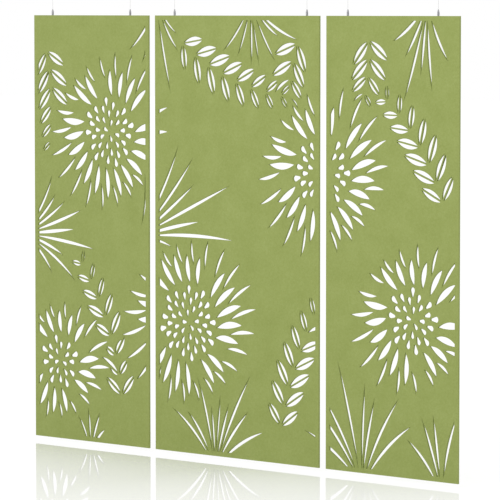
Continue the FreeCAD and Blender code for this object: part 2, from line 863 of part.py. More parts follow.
# Where the panels' left edges and hangers lie, as expressions.
middle = "(Sizes.centre_panel_width - Sizes.short_inset + Sizes.hanger_inset) / 2"
row_edge = "(-" + middle + " - Sizes.panel_gap - Sizes.side_panel_width)"
panels = (
    ("left", row_edge, "side_panel_width", "hanger_inset"),
    ("centre", "(-" + middle + ")", "centre_panel_width", "short_inset"),
    (
        "right",
        "(-" + middle + " + Sizes.centre_panel_width + Sizes.panel_gap)",
        "side_panel_width",
        "hanger_inset",
    ),
)

sub_parts = []


def copies(label, source, places):
    """One sub-part made of copies of a piece, each at its place along the row and up."""
    links = []
    for number, (x, z) in enumerate(places, start=1):
        link = doc.addObject("App::Link", "%s_copy_%d" % (label, number))
        link.LinkedObject = source
        link.LinkTransform = True
        place(link, x, z=z)
        links.append(link)
    group = doc.addObject("Part::Compound", label)
    group.Links = links
    group.Label = label
    sub_parts.append(group)
    return group


hangers = {}
for name, left_edge, width, right_inset in panels:
    first = left_edge + " + Sizes.hanger_inset"
    second = left_edge + " + Sizes." + width + " - Sizes." + right_inset
    hangers[name] = (first, second)

every_hanger = [x for pair in hangers.values() for x in pair]
copies("ceiling_bases", ceiling_base, [(x, "0") for x in every_hanger])
copies("ceiling_caps", ceiling_cap, [(x, "0") for x in every_hanger])

for index, (name, left_edge, width, right_inset) in enumerate(panels):
    pair = hangers[name]
    copies(name + "_trunnions", trunnion, [(x, "-Sizes.axis_drop") for x in pair])
    for number, x in enumerate(pair, start=1):
        at_pivot = [(x, pivot_height)]
        copies("%s_wire_%d" % (name, number), wire, at_pivot)
        copies("%s_wire_barrel_%d" % (name, number), wire_barrel, [(x, "-Sizes.axis_drop")])
        copies("%s_gripper_%d" % (name, number), gripper, at_pivot)
        copies("%s_clevis_pin_%d" % (name, number), clevis_pin, at_pivot)
        copies("%s_spring_%d" % (name, number), spring, at_pivot)
        copies("%s_plunger_%d" % (name, number), plunger, at_pivot)
        copies("%s_balls_%d" % (name, number), ball_set, at_pivot)
    copies(name + "_edge_sleeves", edge_sleeve, [(x, "-Sizes.ceiling_drop") for x in pair])
    copies(name + "_edge_studs", edge_stud, [(x, "-Sizes.ceiling_drop") for x in pair])

    # The felt: its cut face, as thick as the sheet, with a bore in the top edge per sleeve.
    face = doc.addObject("Part::Feature", name + "_felt_face")
    face.Shape = cut_face(panel_edges[index], panel_widths[index])
    face.Placement = FreeCAD.Placement(FreeCAD.Vector(), FreeCAD.Rotation(FreeCAD.Vector(*X_AXIS), 90))
    place(face, row_edge, "Sizes.felt_thickness / 2", "-Sizes.ceiling_drop - Sizes.panel_height")
    slab = doc.addObject("Part::Extrusion", name + "_felt_slab")
    slab.Base = face
    slab.DirMode = "Custom"
    slab.Dir = FreeCAD.Vector(0, -1, 0)
    slab.Solid = True
    bind(slab, LengthFwd="Sizes.felt_thickness")
    bores = []
    for number, x in enumerate(pair, start=1):
        bore = doc.addObject("Part::Cylinder", "%s_felt_bore_%d" % (name, number))
        bind(bore, Radius="Sizes.sleeve_radius", Height="Sizes.sleeve_length + Sizes.overrun")
        place(bore, x, z="-Sizes.ceiling_drop - Sizes.sleeve_length")
        bores.append(bore)
    bore_set = doc.addObject("Part::Compound", name + "_felt_bores")
    bore_set.Links = bores
    felt = doc.addObject("Part::Cut", name + "_felt")
    felt.Base = slab
    felt.Tool = bore_set
    felt.Refine = False
    felt.Label = name + "_felt"
    sub_parts.append(felt)

doc.recompute()

for item in doc.Objects:
    if "Invalid" in item.State or "Error" in item.State:
        raise RuntimeError("not built: " + item.Name)
for item in sub_parts:
    if item.Shape.isNull() or not item.Shape.isValid():
        raise RuntimeError("not valid: " + item.Label)

os.makedirs("parts", exist_ok=True)
for item in sub_parts:
    item.Shape.exportStep("parts/" + item.Label + ".step")
    print(item.Label, len(item.Shape.Solids), "solids", round(item.Shape.Volume, 3), "mm3")
print(len(sub_parts), "sub-parts,", len(slots), "cut-outs")
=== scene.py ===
import math

import bmesh
import bpy
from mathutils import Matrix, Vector


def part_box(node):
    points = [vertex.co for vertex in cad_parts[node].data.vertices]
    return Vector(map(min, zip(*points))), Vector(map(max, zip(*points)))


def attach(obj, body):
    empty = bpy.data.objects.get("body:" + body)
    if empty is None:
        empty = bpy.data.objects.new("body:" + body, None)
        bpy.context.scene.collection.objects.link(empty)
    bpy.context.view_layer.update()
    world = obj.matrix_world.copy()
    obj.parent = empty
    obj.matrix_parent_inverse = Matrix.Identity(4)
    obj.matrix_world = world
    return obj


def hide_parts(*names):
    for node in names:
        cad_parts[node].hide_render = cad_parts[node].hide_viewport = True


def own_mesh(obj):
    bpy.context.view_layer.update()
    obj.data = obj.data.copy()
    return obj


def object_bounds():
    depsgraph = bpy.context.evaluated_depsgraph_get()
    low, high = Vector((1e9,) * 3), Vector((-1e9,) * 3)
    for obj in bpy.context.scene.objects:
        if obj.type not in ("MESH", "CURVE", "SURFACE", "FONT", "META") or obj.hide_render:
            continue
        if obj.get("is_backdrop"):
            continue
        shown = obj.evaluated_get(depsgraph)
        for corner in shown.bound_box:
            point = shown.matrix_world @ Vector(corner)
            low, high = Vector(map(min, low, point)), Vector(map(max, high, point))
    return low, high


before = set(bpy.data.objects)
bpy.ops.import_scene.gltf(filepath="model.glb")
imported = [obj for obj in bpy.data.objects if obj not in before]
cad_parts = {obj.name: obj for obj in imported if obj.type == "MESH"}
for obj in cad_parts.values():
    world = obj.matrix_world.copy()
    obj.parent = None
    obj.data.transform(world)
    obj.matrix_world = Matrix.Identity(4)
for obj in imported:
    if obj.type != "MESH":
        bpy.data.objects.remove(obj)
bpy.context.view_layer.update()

# Ceiling bases. Six discs of nickel-plated brass, turned on a lathe, with a spigot below and a
# counterbored hole through the middle. One screw through each hole holds it to the ceiling.
base_radius = 0.012
base_foot = -0.004
spigot_radius = 0.009
spigot_foot = -0.009
screw_hole_radius = 0.0026
screw_head_radius = 0.005
screw_seat = -0.006
fine_rim = 0.00015
soft_rim = 0.0004
turned_rim_steps = 3
lathe_steps = 72
weld_distance = 0.000001
sharp_angle = math.radians(32)

sides = ("left", "centre", "right")
hangers = []
for side in sides:
    for number in "12":
        low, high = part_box("%s_wire_%s" % (side, number))
        hangers.append((side, number, (low.x + high.x) / 2))


def add_node(tree, kind, sockets, **properties):
    """A new shader node, whose sockets are linked or set by name or number."""
    node = tree.nodes.new("ShaderNode" + kind)
    for name, value in properties.items():
        setattr(node, name, value)
    for name, value in sockets.items():
        if isinstance(value, bpy.types.NodeSocket):
            tree.links.new(value, node.inputs[name])
        else:
            node.inputs[name].default_value = value
    return node


def new_group(name, inputs, outputs):
    """An empty shader group, with its sockets given as name and kind."""
    group = bpy.data.node_groups.new(name, "ShaderNodeTree")
    for label, kind in inputs:
        group.interface.new_socket(label, in_out="INPUT", socket_type="NodeSocket" + kind)
    for label, kind in outputs:
        group.interface.new_socket(label, in_out="OUTPUT", socket_type="NodeSocket" + kind)
    return group, group.nodes.new("NodeGroupInput"), group.nodes.new("NodeGroupOutput")


def new_material(name, colour, roughness, metallic=0.0):
    """A material, its node tree, its shader with plain values, and its Object coordinates."""
    material = bpy.data.materials.new(name)
    material.use_nodes = True
    tree = material.node_tree
    shader = tree.nodes["Principled BSDF"]
    shader.inputs["Base Color"].default_value = (*colour, 1)
    shader.inputs["Roughness"].default_value = roughness
    shader.inputs["Metallic"].default_value = metallic
    return material, tree, shader, add_node(tree, "TexCoord", {}).outputs["Object"]


# Lathe marks: fine rings across the turning axis, and the smears that handling leaves.
ring_detail = 2.0
smear_scale = 190.0
smear_detail = 4.0
smear_swirl = 1.5
lathe_marks, marks_in, marks_out = new_group(
    "Lathe marks",
    (("Vector", "Vector"), ("Lines", "Vector")),
    (("Rings", "Float"), ("Smears", "Float")),
)
stretched = add_node(
    lathe_marks,
    "Mapping",
    {"Vector": marks_in.outputs["Vector"], "Scale": marks_in.outputs["Lines"]},
)
rings = add_node(
    lathe_marks,
    "TexNoise",
    {"Vector": stretched.outputs[0], "Scale": 1.0, "Detail": ring_detail},
)
smears = add_node(
    lathe_marks,
    "TexNoise",
    {
        "Vector": marks_in.outputs["Vector"],
        "Scale": smear_scale,
        "Detail": smear_detail,
        "Distortion": smear_swirl,
    },
)
lathe_marks.links.new(rings.outputs["Fac"], marks_out.inputs["Rings"])
lathe_marks.links.new(smears.outputs["Fac"], marks_out.inputs["Smears"])

# Rubbed rims: where the surface turns sharply outwards, broken up by a little noise.
turn_slight = 0.52
turn_sharp = 0.62
rub_scale = 900.0
rub_detail = 3.0
rubbed_rims, rims_in, rims_out = new_group(
    "Rubbed rims", (("Vector", "Vector"),), (("Rubbed", "Float"),)
)
turns_sharply = add_node(
    rubbed_rims,
    "MapRange",
    {
        "Value": add_node(rubbed_rims, "NewGeometry", {}).outputs["Pointiness"],
        "From Min": turn_slight,
        "From Max": turn_sharp,
    },
)
patches = add_node(
    rubbed_rims,
    "TexNoise",
    {"Vector": rims_in.outputs["Vector"], "Scale": rub_scale, "Detail": rub_detail},
)
rubbed = add_node(
    rubbed_rims,
    "Math",
    {0: turns_sharply.outputs[0], 1: patches.outputs["Fac"]},
    operation="MULTIPLY",
)
rubbed_rims.links.new(rubbed.outputs[0], rims_out.inputs["Rubbed"])

# Turned metal, which every metal piece has in its own colour, gloss and direction of the rings.
dull_share = 0.82
shiny_share = 1.16
smear_weight = 0.5
marks_faint = 0.45
marks_full = 1.05
gloss_gain = 0.08
gloss_loss = 0.12
ring_strength = 0.25
ring_depth = 0.00003


def metal_material(name, plain, bright, gloss, lines):
    """Turned metal, with rings in its gloss, smears in its colour and rims rubbed bright."""
    material, tree, shader, place = new_material(name, plain, gloss, 1.0)
    marks = add_node(tree, "Group", {"Vector": place, "Lines": lines}, node_tree=lathe_marks)
    rims = add_node(tree, "Group", {"Vector": place}, node_tree=rubbed_rims)
    dull = tuple(dull_share * part for part in plain)
    shiny = tuple(shiny_share * part for part in plain)
    smeared = add_node(
        tree,
        "Mix",
        {"Factor": marks.outputs["Smears"], "A": (*dull, 1), "B": (*shiny, 1)},
        data_type="RGBA",
    )
    worn = add_node(
        tree,
        "Mix",
        {"Factor": rims.outputs["Rubbed"], "A": smeared.outputs["Result"], "B": (*bright, 1)},
        data_type="RGBA",
    )
    tree.links.new(worn.outputs["Result"], shader.inputs["Base Color"])
    marked = add_node(
        tree,
        "Math",
        {0: marks.outputs["Smears"], 1: smear_weight, 2: marks.outputs["Rings"]},
        operation="MULTIPLY_ADD",
    )
    roughness = add_node(
        tree,
        "MapRange",
        {
            "Value": marked.outputs[0],
            "From Min": marks_faint,
            "From Max": marks_full,
            "To Min": gloss - gloss_gain,
            "To Max": gloss + gloss_loss,
        },
    )
    tree.links.new(roughness.outputs[0], shader.inputs["Roughness"])
    bump = add_node(
        tree,
        "Bump",
        {"Strength": ring_strength, "Distance": ring_depth, "Height": marks.outputs["Rings"]},
    )
    tree.links.new(bump.outputs["Normal"], shader.inputs["Normal"])
    return material


def turned_shape(corners):
    """A shape turned about Z from corners given as radius, height and the rounding of the rim."""
    shape = bmesh.new()
    points = [shape.verts.new((radius, 0, height)) for radius, height, rim in corners]
    for first, second in zip(points, points[1:]):
        shape.edges.new((first, second))
    if corners[0][0] > 0:
        shape.edges.new((points[-1], points[0]))
    for rim in sorted({rim for radius, height, rim in corners if rim}):
        rounded = [point for point, corner in zip(points, corners) if corner[2] == rim]
        bmesh.ops.bevel(
            shape,
            geom=rounded,
            offset=rim,
            segments=turned_rim_steps,
            profile=0.5,
            affect="VERTICES",
            material=-1,
        )
    bmesh.ops.spin(
        shape,
        geom=shape.verts[:] + shape.edges[:],
        axis=(0, 0, 1),
        angle=math.tau,
        steps=lathe_steps,
        use_merge=True,
    )
    bmesh.ops.remove_doubles(shape, verts=shape.verts, dist=weld_distance)
    bmesh.ops.recalc_face_normals(shape, faces=shape.faces)
    return shape


def shape_mesh(name, shape):
    """The shape as a mesh, which smooths over all but its sharp rims. It uses the shape up."""
    mesh = bpy.data.meshes.new(name)
    shape.to_mesh(mesh)
    shape.free()
    mesh.shade_smooth()
    mesh.set_sharp_from_angle(angle=sharp_angle)
    return mesh


def placed_mesh(name, single, places, material):
    """A mesh of one material, with a copy of the single one at each place."""
    whole = bmesh.new()
    for place in places:
        whole.from_mesh(single)
        whole.verts.ensure_lookup_table()
        bmesh.ops.translate(whole, verts=whole.verts[-len(single.vertices):], vec=place)
    mesh = shape_mesh(name, whole)
    mesh.materials.append(material)
    return mesh


def new_piece(name, mesh, body, node):
    """A finished piece at the origin, which rides on a body and stands for the node it replaces."""
    piece = bpy.data.objects.new(name, mesh)
    bpy.context.collection.objects.link(piece)
    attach(piece, body)
    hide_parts(node)
    return piece


nickel_plain = (0.30, 0.30, 0.31)
nickel_rubbed = (0.52, 0.51, 0.49)
nickel_gloss = 0.30
upright_lines = (60, 60, 14000)
nickel = metal_material("satin nickel", nickel_plain, nickel_rubbed, nickel_gloss, upright_lines)
base_corners = (
    (screw_hole_radius, 0, fine_rim),
    (base_radius, 0, fine_rim),
    (base_radius, base_foot, soft_rim),
    (spigot_radius, base_foot, fine_rim),
    (spigot_radius, spigot_foot, soft_rim),
    (screw_head_radius, spigot_foot, fine_rim),
    (screw_head_radius, screw_seat, fine_rim),
    (screw_hole_radius, screw_seat, fine_rim),
)
base_single = shape_mesh("one ceiling base", turned_shape(base_corners))
base_places = [(across, 0, 0) for side, number, across in hangers]
base_mesh = placed_mesh("ceiling_base_discs", base_single, base_places, nickel)
new_piece("ceiling_base_discs", base_mesh, "ceiling_fittings", "ceiling_bases")

# Ceiling caps. Six cups of nickel-plated brass that screw onto the spigots by hand, so each has
# a knurled band. The floor has a cradle for the trunnion and a flared mouth for the wire.
cap_foot = -0.026
cap_floor = -0.016
cap_bore = 0.00915
cap_chamfer = 0.001
mouth_top_radius = 0.001
mouth_foot_radius = 0.00464
cradle_radius = 0.00405
cradle_length = 0.0156
band_top = -0.0105
band_foot = -0.0195
band_groove = 0.0005
knurl_depth = 0.0003
skin_share = 0.99
rod_steps = 48


def knurl(shape, radius, foot, top):
    """Press straight grooves into every second step of a turned band."""
    for point in shape.verts:
        across = math.hypot(point.co.x, point.co.y)
        step = round(math.atan2(point.co.y, point.co.x) / math.tau * lathe_steps)
        in_band = foot - band_groove / 2 < point.co.z < top + band_groove / 2
        if in_band and across > radius * skin_share and step % 2:
            point.co.xy = point.co.xy * (1 - knurl_depth / radius)


def carved(shape, tool, operation):
    """The shape after a Boolean with the tool. It uses both up."""
    items = []
    for part in (shape, tool):
        mesh = bpy.data.meshes.new("carving")
        part.to_mesh(mesh)
        part.free()
        items.append(bpy.data.objects.new("carving", mesh))
        bpy.context.collection.objects.link(items[-1])
    boolean = items[0].modifiers.new("carve", "BOOLEAN")
    boolean.operation = operation
    boolean.solver = "EXACT"
    boolean.object = items[1]
    carved_object = items[0].evaluated_get(bpy.context.evaluated_depsgraph_get())
    result = bpy.data.meshes.new_from_object(carved_object)
    for item in items:
        bpy.data.meshes.remove(item.data)
    shape = bmesh.new()
    shape.from_mesh(result)
    bpy.data.meshes.remove(result)
    bmesh.ops.remove_doubles(shape, verts=shape.verts, dist=weld_distance)
    return shape


def rod(radius, length, turn, steps):
    """A closed round tool, which starts upright and is turned."""
    tool = bmesh.new()
    bmesh.ops.create_cone(
        tool, cap_ends=True, segments=steps, radius1=radius, radius2=radius, depth=length
    )
    bmesh.ops.rotate(tool, verts=tool.verts, matrix=turn)
    return tool


cap_corners = (
    (mouth_foot_radius, cap_foot, fine_rim),
    (base_radius - cap_chamfer, cap_foot, fine_rim),
    (base_radius, cap_foot + cap_chamfer, fine_rim),
    (base_radius, band_foot - band_groove, 0),
    (base_radius - band_groove, band_foot - band_groove / 2, 0),
    (base_radius, band_foot, 0),
    (base_radius, band_top, 0),
    (base_radius - band_groove, band_top + band_groove / 2, 0),
    (base_radius, band_top + band_groove, 0),
    (base_radius, base_foot, soft_rim),
    (cap_bore, base_foot, fine_rim),
    (cap_bore, cap_floor, 0),
    (mouth_top_radius, cap_floor, 0),
)
along_row = Vector((0, 0, 1)).rotation_difference(Vector((1, 0, 0))).to_matrix()
cap_shape = turned_shape(cap_corners)
knurl(cap_shape, base_radius, band_foot, band_top)
cradle_tool = rod(cradle_radius, cradle_length, along_row, rod_steps)
bmesh.ops.translate(cradle_tool, verts=cradle_tool.verts, vec=(0, 0, cap_floor))
cap_single = shape_mesh("one ceiling cap", carved(cap_shape, cradle_tool, "DIFFERENCE"))
cap_mesh = placed_mesh("ceiling_cap_cups", cap_single, base_places, nickel)
new_piece("ceiling_cap_cups", cap_mesh, "ceiling_fittings", "ceiling_caps")

# Trunnions and wire barrels. A steel cross bar lies in each cap's cradle, and the barrel swaged
# onto the wire's end turns in its cross bore. Both are turned from bright free-cutting steel.
steel_plain = (0.36, 0.36, 0.36)
steel_bright = (0.60, 0.60, 0.59)
steel_gloss = 0.24
row_lines = (14000, 60, 60)
cross_lines = (60, 14000, 60)
small_rim = 0.0002
cad_rim_steps = 2
cad_weld_distance = 0.000005
flat_angle = math.radians(1)
rim_angle = math.radians(40)


def softened_mesh(node, rim, material):
    """A copy of a CAD node's mesh, merged, with whole flat faces and its sharp rims rounded."""
    shape = bmesh.new()
    shape.from_mesh(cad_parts[node].data)
    bmesh.ops.remove_doubles(shape, verts=shape.verts, dist=cad_weld_distance)
    bmesh.ops.dissolve_limit(shape, verts=shape.verts, edges=shape.edges, angle_limit=flat_angle)
    sharp = []
    for edge in shape.edges:
        if len(edge.link_faces) == 2 and edge.calc_face_angle() > rim_angle:
            sharp.append(edge)
    bmesh.ops.bevel(
        shape,
        geom=sharp,
        offset=rim,
        segments=cad_rim_steps,
        profile=0.5,
        affect="EDGES",
        material=-1,
        clamp_overlap=True,
    )
    mesh = shape_mesh(node + "_softened", shape)
    mesh.materials.append(material)
    return mesh


trunnion_steel = metal_material("trunnion steel", steel_plain, steel_bright, steel_gloss, row_lines)
barrel_steel = metal_material("barrel steel", steel_plain, steel_bright, steel_gloss, cross_lines)
for side in sides:
    node = side + "_trunnions"
    mesh = softened_mesh(node, small_rim, trunnion_steel)
    new_piece(side + "_trunnion_bars", mesh, node, node)
for side, number, across in hangers:
    node = "%s_wire_barrel_%s" % (side, number)
    mesh = softened_mesh(node, small_rim, barrel_steel)
    body = "%s_wire_%s" % (side, number)
    new_piece("%s_wire_slug_%s" % (side, number), mesh, body, node)

# Wires. Each is one straight length of 1.5 mm stranded stainless rope, six strands laid round a
# core, which hangs from its barrel through the cap's mouth down into the gripper.
wire_top = -0.0145
nozzle_top = -0.0951
wire_tail = -0.1095
wire_diameter = 0.0015
line_steps = 48
strand_count = 6
strand_radius = 0.00025
strand_roundness = 1
rope_lay = 0.0105
wire_grey = (0.56, 0.56, 0.55)
wire_bright = (0.72, 0.72, 0.70)
wire_gloss = 0.32


def line_of(points):
    """The points of the smooth line that has these as its control points."""
    curve = bpy.data.curves.new("route", "CURVE")
    curve.dimensions = "3D"
    curve.resolution_u = line_steps
    spline = curve.splines.new("NURBS")
    spline.points.add(len(points) - 1)
    for held, point in zip(spline.points, points):
        held.co = (*point, 1)
    spline.order_u = 3
    spline.use_endpoint_u = True
    route = bpy.data.objects.new("route", curve)
    mesh = bpy.data.meshes.new_from_object(route)
    line = [vertex.co.copy() for vertex in mesh.vertices]
    bpy.data.meshes.remove(mesh)
    bpy.data.curves.remove(curve)
    return line


def strand_points(line, offset, turn):
    """Points beside a line, which go round it once in each lay of the rope."""
    points = []
    travelled = 0
    for index, point in enumerate(line):
        before = line[max(index - 1, 0)]
        after = line[min(index + 1, len(line) - 1)]
        travelled += (point - before).length
        angle = turn + math.tau * travelled / rope_lay
        aim = (after - before).to_track_quat("Z", "Y")
        points.append(point + aim @ Vector((math.cos(angle), math.sin(angle), 0)) * offset)
    return points


def rope_mesh(name, line, material):
    """A rope of round strands laid about a core, with closed ends."""
    curve = bpy.data.curves.new(name, "CURVE")
    curve.dimensions = "3D"
    curve.bevel_depth = strand_radius
    curve.bevel_resolution = strand_roundness
    curve.use_fill_caps = True
    routes = [line]
    for strand in range(strand_count):
        turn = math.tau * strand / strand_count
        routes.append(strand_points(line, wire_diameter / 2 - strand_radius, turn))
    for route in routes:
        spline = curve.splines.new("POLY")
        spline.points.add(len(route) - 1)
        for held, point in zip(spline.points, route):
            held.co = (*point, 1)
    holder = bpy.data.objects.new(name, curve)
    mesh = bpy.data.meshes.new_from_object(holder)
    mesh.name = name
    mesh.shade_smooth()
    mesh.materials.append(material)
    bpy.data.curves.remove(curve)
    return mesh


wire_steel = metal_material("stranded wire", wire_grey, wire_bright, wire_gloss, upright_lines)
for side, number, across in hangers:
    node = "%s_wire_%s" % (side, number)
    route = [(across, 0, height) for height in (wire_top, cap_foot, nozzle_top, wire_tail)]
    line = line_of(route)
    name = "%s_wire_rope_%s" % (side, number)
    rope = new_piece(name, rope_mesh(name, line, wire_steel), node, node)

# Grippers. Each is a nickel-plated brass housing: a fork that straddles the panel's tang, then a
# tapered nose. Inside, three balls jam between a cone and the wire. Heights count from its pin.
gripper_radius = 0.006
foot_radius = 0.0062
foot_reach = 0.0072
fork_slot = 0.0044
slot_top = 0.0055
pin_hole_radius = 0.00155
seam_foot = 0.0066
seam_top = 0.0071
seam_depth = 0.00035
shoulder_height = 0.011
nose_height = 0.024
nose_radius = 0.0032
nose_bore = 0.0025
chamber_radius = 0.004
chamber_floor = 0.008
cone_foot = 0.01132
cone_top = 0.02199
shoulder_rim = 0.0012
fork_steps = 32
pin_hole_steps = 24
slot_tool_reach = 4
pin_tool_reach = 3
gripper_corners = (
    (0, -foot_reach, 0),
    (gripper_radius, -foot_reach, 0),
    (gripper_radius, seam_foot, fine_rim),
    (gripper_radius - seam_depth, seam_foot, 0),
    (gripper_radius - seam_depth, seam_top, 0),
    (gripper_radius, seam_top, fine_rim),
    (gripper_radius, shoulder_height, shoulder_rim),
    (nose_radius, nose_height, fine_rim),
    (nose_bore, nose_height, fine_rim),
    (nose_bore, cone_top, 0),
    (chamber_radius, cone_foot, 0),
    (chamber_radius, chamber_floor, 0),
    (0, chamber_floor, 0),
)


def fork_outline():
    """A long block with a half-round foot about the pin, which the fork keeps within."""
    block = bmesh.new()
    start = block.verts.new((foot_radius, -foot_reach, 0))
    bmesh.ops.spin(
        block,
        geom=[start],
        cent=(0, -foot_reach, 0),
        axis=(0, 1, 0),
        angle=math.pi,
        steps=fork_steps,
    )
    for across in (-foot_radius, foot_radius):
        block.verts.new((across, -foot_reach, 2 * nose_height))
    block.faces.new(block.verts)
    grown = bmesh.ops.extrude_face_region(block, geom=block.faces[:])
    far = [item for item in grown["geom"] if isinstance(item, bmesh.types.BMVert)]
    bmesh.ops.translate(block, verts=far, vec=(0, 2 * foot_reach, 0))
    bmesh.ops.recalc_face_normals(block, faces=block.faces)
    return block


def slot_tool():
    """The block that is milled out between the fork's cheeks."""
    block = bmesh.new()
    bmesh.ops.create_cube(block, size=1)
    width = slot_tool_reach * gripper_radius
    height = slot_tool_reach * slot_top
    bmesh.ops.scale(block, verts=block.verts, vec=(width, fork_slot, height))
    bmesh.ops.translate(block, verts=block.verts, vec=(0, 0, -slot_top))
    return block


across_row = Vector((0, 0, 1)).rotation_difference(Vector((0, 1, 0))).to_matrix()
gripper_shape = turned_shape(gripper_corners)
gripper_shape = carved(gripper_shape, fork_outline(), "INTERSECT")
gripper_shape = carved(gripper_shape, slot_tool(), "DIFFERENCE")
pin_tool = rod(pin_hole_radius, pin_tool_reach * gripper_radius, across_row, pin_hole_steps)
gripper_shape = carved(gripper_shape, pin_tool, "DIFFERENCE")
gripper_single = shape_mesh("one gripper", gripper_shape)
pivots = {}
for side, number, across in hangers:
    low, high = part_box("%s_clevis_pin_%s" % (side, number))
    node = "%s_gripper_%s" % (side, number)
    pivots[node] = Vector((across, 0, (low.z + high.z) / 2))
    mesh = placed_mesh(node + "_housing", gripper_single, [pivots[node]], nickel)
    new_piece(node + "_housing", mesh, node, node)

# Release plungers, balls, springs and clevis pins. The plunger's nozzle stands out of the nose,
# and pressing it down onto its coil spring frees the balls. The hard steel pin holds the tang.
coil_radius = 0.0023
coil_wire = 0.0002
coil_turns = 5
coil_foot = 0.00825
coil_rise = 0.0078
coil_steps = 24
coil_sides = 10
nozzle_rim = 0.0001
nozzle_gloss = 0.22
pin_rim = 0.0003
pin_gloss = 0.20
spring_grey = (0.30, 0.30, 0.30)
spring_gloss = 0.34
drawn_lines = (900, 900, 900)
ball_grey = (0.48, 0.48, 0.48)
ball_gloss = 0.10
ground_lines = (300, 300, 300)


def coil_shape():
    """A round wire section, spun five turns about the wire's line while it climbs."""
    coil = bmesh.new()
    bmesh.ops.create_circle(coil, cap_ends=True, segments=coil_sides, radius=coil_wire)
    bmesh.ops.rotate(coil, verts=coil.verts, matrix=across_row)
    bmesh.ops.translate(coil, verts=coil.verts, vec=(coil_radius, 0, coil_foot))
    bmesh.ops.spin(
        coil,
        geom=coil.verts[:] + coil.edges[:] + coil.faces[:],
        axis=(0, 0, 1),
        dvec=(0, 0, coil_rise / (coil_turns * coil_steps)),
        angle=math.tau * coil_turns,
        steps=coil_turns * coil_steps,
    )
    bmesh.ops.recalc_face_normals(coil, faces=coil.faces)
    return coil


coil_single = shape_mesh("one spring", coil_shape())
nozzle_nickel = metal_material(
    "nozzle nickel", nickel_plain, nickel_rubbed, nozzle_gloss, upright_lines
)
pin_steel = metal_material("pin steel", steel_plain, steel_bright, pin_gloss, cross_lines)
spring_steel = metal_material("spring steel", spring_grey, steel_bright, spring_gloss, drawn_lines)
ball_steel = metal_material("ball steel", ball_grey, steel_bright, ball_gloss, ground_lines)
for side, number, across in hangers:
    gripper = "%s_gripper_%s" % (side, number)
    node = "%s_plunger_%s" % (side, number)
    mesh = softened_mesh(node, nozzle_rim, nozzle_nickel)
    new_piece("%s_nozzle_%s" % (side, number), mesh, node, node)
    node = "%s_clevis_pin_%s" % (side, number)
    mesh = softened_mesh(node, pin_rim, pin_steel)
    new_piece("%s_pin_%s" % (side, number), mesh, gripper, node)
    node = "%s_spring_%s" % (side, number)
    name = "%s_coil_%s" % (side, number)
    mesh = placed_mesh(name, coil_single, [pivots[gripper]], spring_steel)
    coil = new_piece(name, mesh, gripper, node)
    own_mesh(coil)
    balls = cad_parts["%s_balls_%s" % (side, number)].data
    balls.materials.clear()
    balls.materials.append(ball_steel)

# Edge studs and sleeves. A zinc-plated stud screws into a threaded sleeve that is bonded into the
# felt's top edge. Its flange rests on the edge, and its flat tang has the pin's eye.
zinc_plain = (0.34, 0.35, 0.36)
zinc_bright = (0.58, 0.58, 0.57)
zinc_gloss = 0.30
brass_plain = (0.50, 0.36, 0.15)
brass_bright = (0.70, 0.55, 0.30)
brass_gloss = 0.35
zinc = metal_material("zinc plate", zinc_plain, zinc_bright, zinc_gloss, upright_lines)
brass = metal_material("sleeve brass", brass_plain, brass_bright, brass_gloss, upright_lines)
for side in sides:
    node = side + "_edge_studs"
    mesh = softened_mesh(node, small_rim, zinc)
    new_piece(side + "_tang_studs", mesh, side + "_panel", node)
    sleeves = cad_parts[side + "_edge_sleeves"].data
    sleeves.materials.clear()
    sleeves.materials.append(brass)

# Felt panels. Three boards of needle-punched polyester felt, 12 mm thick, dyed moss green. Leaves,
# flower heads and grass are knife-cut right through them, which leaves slightly rounded rims and
# dense walls, where the fibres lie in layers.
felt_rim = 0.0009
felt_rim_steps = 2
felt_weld_distance = 0.00001
felt_rim_angle = math.radians(60)
flat_from = 0.9
face_from = 0.5
felt_green = (0.334, 0.395, 0.118)
felt_pale = (0.379, 0.443, 0.150)
felt_dark = (0.290, 0.347, 0.093)
# The cut walls are the same dyed felt as the faces. Their colours are a little darker, which is
# painted shade.
shaded_wall_green = (0.328, 0.388, 0.117)
shaded_wall_pale = (0.377, 0.439, 0.148)
shaded_wall_dark = (0.279, 0.333, 0.091)

# Felt fibres: four sheets of stretched noise turned against each other, with the coarser grain
# and the faint clouds of the dye, and the dimples that the needles leave. Each sheet has its turn
# in radians and its fibres to the metre.
fibre_sheets = ((0.20, 900), (1.05, 760), (1.80, 1040), (2.60, 830))
fibre_stretch = 9
fibre_detail = 3.0
fibre_roughness = 0.6
fibre_bend = 0.4
fibre_faint = 0.42
fibre_full = 0.78
grain_scale = 95.0
grain_detail = 4.0
cloud_scale = 7.0
cloud_detail = 6.0
cloud_roughness = 0.55
needle_scale = 420.0
dimple_centre = 0.02
dimple_rim = 0.22
fibre_weight = 0.30
grain_weight = 0.36
cloud_weight = 0.34
dimple_weight = 0.5
felt_fibres, fibres_in, fibres_out = new_group(
    "Felt fibres",
    (("Vector", "Vector"),),
    (("Shade", "Float"), ("Height", "Float")),
)
felt_place = fibres_in.outputs["Vector"]
strongest = None
for turn, fineness in fibre_sheets:
    mapping = add_node(
        felt_fibres,
        "Mapping",
        {
            "Vector": felt_place,
            "Rotation": (0, turn, 0),
            "Scale": (1 / fineness, 1 / fineness, fibre_stretch / fineness),
        },
        vector_type="TEXTURE",
    )
    sheet = add_node(
        felt_fibres,
        "TexNoise",
        {
            "Vector": mapping.outputs[0],
            "Scale": 1.0,
            "Detail": fibre_detail,
            "Roughness": fibre_roughness,
            "Distortion": fibre_bend,
        },
    ).outputs["Fac"]
    if strongest is None:
        strongest = sheet
    else:
        strongest = add_node(
            felt_fibres, "Math", {0: strongest, 1: sheet}, operation="MAXIMUM"
        ).outputs[0]
fibres = add_node(
    felt_fibres,
    "MapRange",
    {"Value": strongest, "From Min": fibre_faint, "From Max": fibre_full},
).outputs[0]
grain = add_node(
    felt_fibres,
    "TexNoise",
    {"Vector": felt_place, "Scale": grain_scale, "Detail": grain_detail},
).outputs["Fac"]
